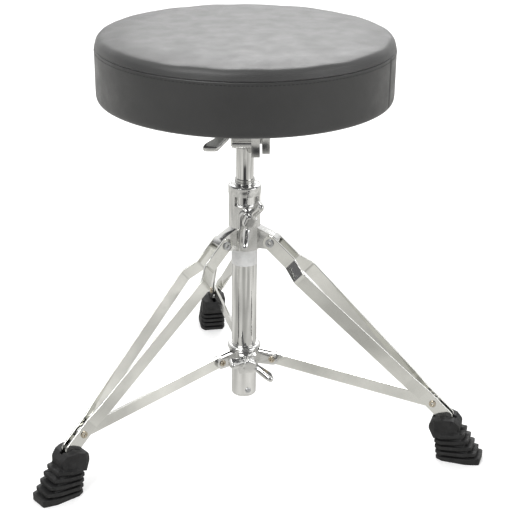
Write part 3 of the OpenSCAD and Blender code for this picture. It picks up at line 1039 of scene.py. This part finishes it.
@dataclass
class Seat:
    """Padded cover with its seams, and the board, plate and screws below it.

    Hem rings are placed inward from the side; stitches, staples and lap from seam or hem.
    """

    column: Column
    finishes: Finishes
    spokes: int = 160
    hem_rings: Triple = (26 * MM, 14 * MM, 6 * MM)
    lower_roll: float = 5 * MM
    side_rings: int = 9
    rim: Span = (5.3 * MM, 6.3 * MM)
    rim_roll: float = 5.2 * MM
    crown_rings: int = 18
    seam_depth: float = 1.1 * MM
    seam_half: float = 0.9 * MM
    puff: float = 2.6 * MM
    pressure: float = 4.0
    stretch: float = 40.0
    bending: float = 2.0
    frames: int = 20
    relaxing: int = 4
    stitch_radius: float = 0.28 * MM
    stitch_pitch: float = 4.2 * MM
    stitch_drop: float = 3.2 * MM
    lap_angle: float = -32.0
    lap_half: float = 2.6 * MM
    lap_proud: float = 0.55 * MM
    lap_step: float = 0.25 * MM
    staples: int = 40
    staple: Triple = (1.1 * MM, 9 * MM, 0.6 * MM)
    staple_reach: float = 20 * MM

    def __post_init__(self) -> None:
        """Read the pad's levels from the frame."""
        low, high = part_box("seat_cover_band")
        self.radius = (high.x - low.x) / 2
        self.under = low.z
        self.seam = high.z
        self.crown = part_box("seat_cover_top")[1].z

    def profile(self) -> list[Span]:
        """Rings of the cover from under the board, up the side and over the top.

        Returns:
            Radius and height of each ring.
        """
        r, low, seam, roll = self.radius, self.under, self.seam, self.lower_roll
        rings = [(r - inset, low) for inset in self.hem_rings]
        rings += arc((-65, -35, 0), (r - roll, low + roll), roll)
        rise = seam - low - roll - 2 * MM
        rings += [(r, low + roll + rise * i / self.side_rings) for i in range(1, self.side_rings)]
        rings += [(r, seam - 2 * MM), (r - 0.1 * MM, seam), (r - 0.2 * MM, seam + 2 * MM),
                  (r, seam + 4 * MM)]
        flat, level = r - self.rim[0], seam + self.rim[1]
        rings += arc((5, 24, 43, 62, 81), (flat, level), self.rim_roll)
        shoulder = level + self.rim_roll
        for i in range(1, self.crown_rings):
            left = 1 - i / self.crown_rings
            rings.append((flat * left, shoulder + (self.crown - shoulder) * (1 - left ** 2)))
        return rings

    def make_cover(self) -> Piece:
        """Model the cover: a circle drawn up ring by ring, closed, then filled by a simulation.

        Returns:
            The closed, padded cover.
        """
        rings = self.profile()
        radius, height = rings[0]
        cover = start(
            bpy.ops.mesh.primitive_circle_add, "seat_cushion",
            vertices=self.spokes, radius=radius, location=(0, 0, height), fill_type="NGON",
        )
        with editing(cover, everything=True):
            for next_radius, next_height in rings[1:]:
                grow = next_radius / radius
                extrude((0, 0, next_height - height), (grow, grow, 1), (0, 0, next_height))
                radius, height = next_radius, next_height
            bpy.ops.mesh.poke()
            pick(cover, Kind.FACE, lambda face: face.normal.z < -0.9 and len(face.verts) > 4)
            bpy.ops.mesh.inset(thickness=60 * MM, depth=0)
            bpy.ops.mesh.poke()
        tidy(cover, 60)
        self.fill_with_cloth(cover)
        subdivided(cover, 1)
        self.press_seam(cover)
        tidy(cover, 50)
        return cover

    def fill_with_cloth(self, cover: Piece) -> None:
        """Swell the cover with a cloth simulation that holds its hem and seam."""
        rest = [vertex.co.copy() for vertex in cover.data.vertices]
        hold = cover.vertex_groups.new(name="hold")
        for vertex in cover.data.vertices:
            low = vertex.co.z < self.under + 1.5 * MM
            near_seam = abs(vertex.co.z - self.seam) < 2.5 * MM
            if low or near_seam:
                hold.add([vertex.index], 1.0 if low else 0.75, "REPLACE")
        activate(cover)
        cloth = cover.modifiers.new("fill", "CLOTH")
        settings = cloth.settings
        settings.use_pressure = True
        settings.uniform_pressure_force = self.pressure
        settings.effector_weights.gravity = 0.0
        settings.vertex_group_mass = hold.name
        settings.tension_stiffness = settings.compression_stiffness = self.stretch
        settings.bending_stiffness = self.bending
        settings.quality = 6
        cloth.point_cache.frame_start = 1
        cloth.point_cache.frame_end = self.frames
        scene = bpy.context.scene
        for step in range(1, self.frames + 1):
            scene.frame_set(step)
        activate(cover)
        bpy.ops.object.modifier_apply(modifier=cloth.name)
        scene.frame_set(1)
        self.settle(cover, rest)
        cover.vertex_groups.clear()

    def settle(self, cover: Piece, rest: Sequence[Vector]) -> None:
        """Cap how far the simulation moved each point, and even the travels out.

        Args:
            cover: The cover after the simulation.
            rest: Where its points were before.
        """
        travels = [vertex.co - home for vertex, home in zip(cover.data.vertices, rest)]
        travels = [t * min(1.0, self.puff / max(t.length, 1e-9)) for t in travels]
        for _ in range(self.relaxing):
            sums = [travel.copy() for travel in travels]
            counts = [1] * len(travels)
            for first, second in (edge.vertices for edge in cover.data.edges):
                sums[first] += travels[second]
                sums[second] += travels[first]
                counts[first] += 1
                counts[second] += 1
            travels = [total / count for total, count in zip(sums, counts)]
        for vertex, home, travel in zip(cover.data.vertices, rest, travels):
            vertex.co = home + travel

    def press_seam(self, cover: Piece) -> None:
        """Cut a narrow groove round the cover where the top panel meets the side band."""
        with editing(cover):
            for offset in (-self.seam_half, 0.0, self.seam_half):
                bpy.ops.mesh.select_all(action="SELECT")
                bpy.ops.mesh.bisect(plane_co=(0, 0, self.seam + offset), plane_no=(0, 0, 1))
        for vertex in cover.data.vertices:
            off = abs(vertex.co.z - self.seam)
            reach = math.hypot(vertex.co.x, vertex.co.y)
            if off < 0.4 * self.seam_half and reach > 0.9 * self.radius:
                shrink = (reach - self.seam_depth) / reach
                vertex.co.x *= shrink
                vertex.co.y *= shrink

    def side_radius(self, cover: Piece, angle: float, height: float) -> float:
        """Radius of the finished cover's side at an angle and height."""
        out = Vector((math.cos(angle), math.sin(angle), 0))
        hit, point, _, _ = cover.ray_cast(out * 2 * self.radius + Vector((0, 0, height)), -out)
        return math.hypot(point.x, point.y) if hit else self.radius

    def make_stitches(self, cover: Piece) -> Piece:
        """Model one stitch and repeat it round the cover, just below the seam."""
        stitch = start(
            bpy.ops.mesh.primitive_cylinder_add, "stitch", vertices=6, radius=self.stitch_radius,
            depth=0.62 * self.stitch_pitch, rotation=(math.pi / 2, 0, 0),
        )
        bevelled(stitch, 0.12 * MM, 1, 30)
        count = round(2 * math.pi * self.radius / self.stitch_pitch)
        level = self.seam - self.stitch_drop
        places = []
        for i in range(count):
            angle = 2 * math.pi * i / count
            reach = self.side_radius(cover, angle, level) + 0.02 * MM
            places.append(
                Matrix.Rotation(angle, 4, "Z") @ Matrix.Translation((reach, 0, level))
            )
        stitches = repeated(stitch, places, "seam_stitches")
        discard(stitch)
        return stitches

    def make_closing_seam(self, cover: Piece) -> Piece:
        """Model the upright lap where the side band's two ends meet."""
        low, high = self.under + 4 * MM, self.seam - 1.2 * MM
        lap = start(
            bpy.ops.mesh.primitive_grid_add, "band_lap", x_subdivisions=6, y_subdivisions=12,
            size=1,
        )
        for vertex in lap.data.vertices:
            across = vertex.co.x * 2 * self.lap_half
            up = low + (vertex.co.y + 0.5) * (high - low)
            turn = math.radians(self.lap_angle) + across / self.radius
            proud = self.lap_proud + (self.lap_step if across > 0 else 0.0)
            proud *= 1 - (abs(across) / self.lap_half) ** 4
            reach = self.side_radius(cover, turn, up) + proud - 0.05 * MM
            vertex.co = Vector((reach * math.cos(turn), reach * math.sin(turn), up))
        applied(lap, "SOLIDIFY", thickness=0.6 * MM, offset=-1)
        tidy(lap, 60)
        return lap

    def make_staples(self) -> Piece:
        """Model one staple and repeat it round the turned-in hem under the seat."""
        staple = block("staple", self.staple)
        bevelled(staple, 0.2 * MM, 2, 30)
        seat = Matrix.Translation((self.radius - self.staple_reach, 0, self.under - 0.1 * MM))
        places = []
        for i in range(self.staples):
            lean = math.radians(8 * math.sin(5.1 * i))
            round_hem = Matrix.Rotation(2 * math.pi * i / self.staples, 4, "Z")
            places.append(round_hem @ seat @ Matrix.Rotation(lean, 4, "Z"))
        staples = repeated(staple, places, "hem_staples")
        discard(staple)
        return staples

    def build(self) -> None:
        """Make the cover, its seams and staples, and dress the seat's nodes."""
        finishes = self.finishes
        cover = self.make_cover()
        # The top faces take the lighter vinyl copy, painted light; the side faces take the darker
        # copy, painted shade.
        dress(cover, finishes.vinyl_top, finishes.vinyl_side)
        for face in cover.data.polygons:
            face.material_index = 0 if face.center.z > self.seam else 1
        stitches = self.make_stitches(cover)
        lap = self.make_closing_seam(cover)
        staples = self.make_staples()
        dress(stitches, finishes.thread)
        # The lap on the side takes the darker vinyl copy, painted shade.
        dress(lap, finishes.vinyl_side)
        dress(staples, finishes.zinc)
        for piece in (cover, stitches, lap, staples):
            put(piece, self.column.standing())
        mount(cover, "seat", "vinyl", "seat_foam", "seat_cover_top", "seat_cover_band")
        mount(stitches, "seat", "vinyl")
        mount(lap, "seat", "vinyl")
        mount(staples, "seat", "zinc_steel")
        for node, finish in (
            ("seat_board", finishes.plywood), ("seat_dust_cloth", finishes.dust),
            ("seat_foam", finishes.foam), ("seat_plate", finishes.zinc),
            # The hidden cover nodes take the same lighter and darker vinyl copies, painted light
            # and painted shade.
            ("seat_cover_top", finishes.vinyl_top), ("seat_cover_band", finishes.vinyl_side),
            ("seat_screws", finishes.zinc), ("seat_tee_nuts", finishes.zinc),
        ):
            dress_node(node, finish)


# ---------------------------------------------------------------- studio


@dataclass(frozen=True)
class Softbox:
    """One square light: where it stands, the length of its side and its power in watts."""

    name: str
    place: Triple
    size: float
    power: float

    def build(self, aim: Vector) -> None:
        """Add the light, pointed at a place."""
        data = bpy.data.lights.new(self.name, "AREA")
        data.shape = "SQUARE"
        data.size = self.size
        data.energy = self.power
        light = bpy.data.objects.new(self.name, data)
        bpy.context.scene.collection.objects.link(light)
        light.location = self.place
        light.rotation_euler = (aim - Vector(self.place)).to_track_quat("-Z", "Y").to_euler()


@dataclass
class Studio:
    """Camera, pale floor, soft lights and surroundings. Angles are in degrees."""

    column: Column
    distance: float = 1.2456
    height: float = 0.731
    azimuth: float = -100.21
    pitch: float = 22.974
    yaw: float = 0.586
    roll: float = 0.524
    lens: float = 86.26
    floor_size: float = 30.0
    floor_glow: float = 0.3
    reflector_glow: float = 0.85
    dark_sector: Span = (0.895, 0.985)
    dark_inner: Span = (0.52, 0.60)
    dark_outer: Span = (0.90, 0.97)
    world_glow: float = 1.0
    lights: tuple[Softbox, ...] = (
        Softbox("key", (-1.6, -1.4, 2.4), 1.6, 55),
        Softbox("fill", (2.2, -1.6, 1.6), 1.8, 28),
        Softbox("rim", (0.6, 2.2, 2.2), 1.6, 40),
    )

    def towards_camera(self) -> Vector:
        """Level direction from the column to the camera."""
        out = math.radians(self.azimuth)
        return Vector((math.cos(out), math.sin(out), 0))

    def make_camera(self) -> None:
        """Put the camera at the viewing angle, looking at the throne."""
        data = bpy.data.cameras.new("camera")
        data.lens = self.lens
        data.sensor_width = 36.0
        data.clip_start = 0.01
        camera = bpy.data.objects.new("camera", data)
        bpy.context.scene.collection.objects.link(camera)
        out = math.radians(self.azimuth)
        camera.location = (
            self.distance * math.cos(out),
            self.column.axis_y + self.distance * math.sin(out),
            self.height,
        )
        heading = out + math.pi - math.radians(self.yaw)
        camera.rotation_euler = (
            Matrix.Rotation(heading - math.pi / 2, 4, "Z")
            @ Matrix.Rotation(math.radians(90 - self.pitch), 4, "X")
            @ Matrix.Rotation(math.radians(self.roll), 4, "Z")
        ).to_euler()
        bpy.context.scene.camera = camera

    def make_floor(self) -> None:
        """Lay a plain pale floor just under the feet."""
        floor = start(bpy.ops.mesh.primitive_plane_add, "floor", size=self.floor_size)
        with editing(floor, everything=True):
            bpy.ops.mesh.subdivide(number_cuts=8)
        g = Graph("floor_paper")
        g.set(Emission_Strength=self.floor_glow)
        pale = g.blend(g.noise(3.0, 2.0), even(0.86), even(0.88))
        g.drive(
            Base_Color=pale, Emission_Color=pale, Roughness=g.span(g.noise(40.0), 0.7, 0.8)
        )
        dress(floor, g.material)
        floor.visible_glossy = False

    def make_reflector(self) -> None:
        """Lay a sheet that only bright metal sees, to give it light and dark streaks."""
        sheet = start(bpy.ops.mesh.primitive_plane_add, "reflector", size=12.0)
        put(sheet, Matrix.Translation((0, self.column.axis_y, -2 * MM)))
        sheet.visible_camera = False
        sheet.visible_diffuse = False
        sheet.visible_shadow = False
        sheet.visible_transmission = False
        g = Graph("reflector_card")
        g.set(Emission_Strength=self.reflector_glow, Base_Color=(0, 0, 0, 1))
        mixed = g.add("ShaderNodeMix", data_type="RGBA")
        g.join(self.dark_patch(g), mixed.inputs["Factor"])
        patches = g.blend(g.noise(4.0, 1.0), (0.52, 0.515, 0.49), (0.94, 0.93, 0.89), 0.38, 0.62)
        g.join(patches, mixed.inputs["A"])
        mixed.inputs["B"].default_value = (0.025, 0.025, 0.027, 1)
        g.drive(Emission_Color=mixed.outputs["Result"])
        dress(sheet, g.material)

    def dark_patch(self, g: Graph) -> Socket:
        """How dark the reflector is: 1 in a curved patch on the camera's side, else 0."""
        centred = g.add("ShaderNodeVectorMath", operation="SUBTRACT")
        centred.inputs[1].default_value = (0, self.column.axis_y, 0)
        g.join(g.place, centred.inputs[0])
        reach = g.add("ShaderNodeVectorMath", operation="LENGTH")
        g.join(centred.outputs[0], reach.inputs[0])
        unit = g.add("ShaderNodeVectorMath", operation="NORMALIZE")
        g.join(centred.outputs[0], unit.inputs[0])
        facing = g.add("ShaderNodeVectorMath", operation="DOT_PRODUCT")
        facing.inputs[1].default_value = self.towards_camera()
        g.join(unit.outputs[0], facing.inputs[0])
        sector = g.span(facing.outputs["Value"], 0.0, 1.0, *self.dark_sector)
        beyond = g.product(sector, g.span(reach.outputs["Value"], 0.0, 1.0, *self.dark_inner))
        return g.product(beyond, g.span(reach.outputs["Value"], 1.0, 0.0, *self.dark_outer))

    def make_world(self) -> None:
        """Surround the throne with a studio, bright behind and overhead and dim in front."""
        world = bpy.data.worlds.new("studio")
        bpy.context.scene.world = world
        g = Tree(world)
        output = g.add("ShaderNodeOutputWorld")
        light = g.add("ShaderNodeBackground")
        light.inputs["Strength"].default_value = self.world_glow
        facing = g.add("ShaderNodeVectorMath", operation="DOT_PRODUCT")
        bright = Vector((0, 0, 0.75)) - self.towards_camera()
        facing.inputs[1].default_value = bright.normalized()
        ramp = g.add("ShaderNodeValToRGB")
        g.join(g.add("ShaderNodeTexCoord").outputs["Object"], facing.inputs[0])
        g.join(facing.outputs["Value"], ramp.inputs["Fac"])
        g.join(ramp.outputs["Color"], light.inputs["Color"])
        g.join(light.outputs["Background"], output.inputs["Surface"])
        stops = ramp.color_ramp.elements
        stops[0].position, stops[0].color = 0.0, (0.16, 0.16, 0.165, 1)
        stops[1].position, stops[1].color = 0.75, (1.0, 1.0, 0.99, 1)
        stops.new(0.35).color = (0.45, 0.45, 0.45, 1)

    def build(self) -> None:
        """Set up the whole studio."""
        self.make_camera()
        self.make_floor()
        self.make_reflector()
        self.make_world()
        aim = Vector((0, self.column.axis_y, 0.3))
        for light in self.lights:
            light.build(aim)
        bpy.context.scene.view_settings.view_transform = "Standard"


def main() -> None:
    """Build the studio and every sub-assembly."""
    logging.basicConfig(level=logging.INFO, format="%(message)s")
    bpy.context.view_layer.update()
    column = Column()
    Studio(column).build()
    finishes = Finishes()
    Stand(finishes).build()
    StripLegs(column, finishes).build()
    WingScrews(finishes).build()
    Seat(column, finishes).build()


if __name__ == "__main__":
    main()
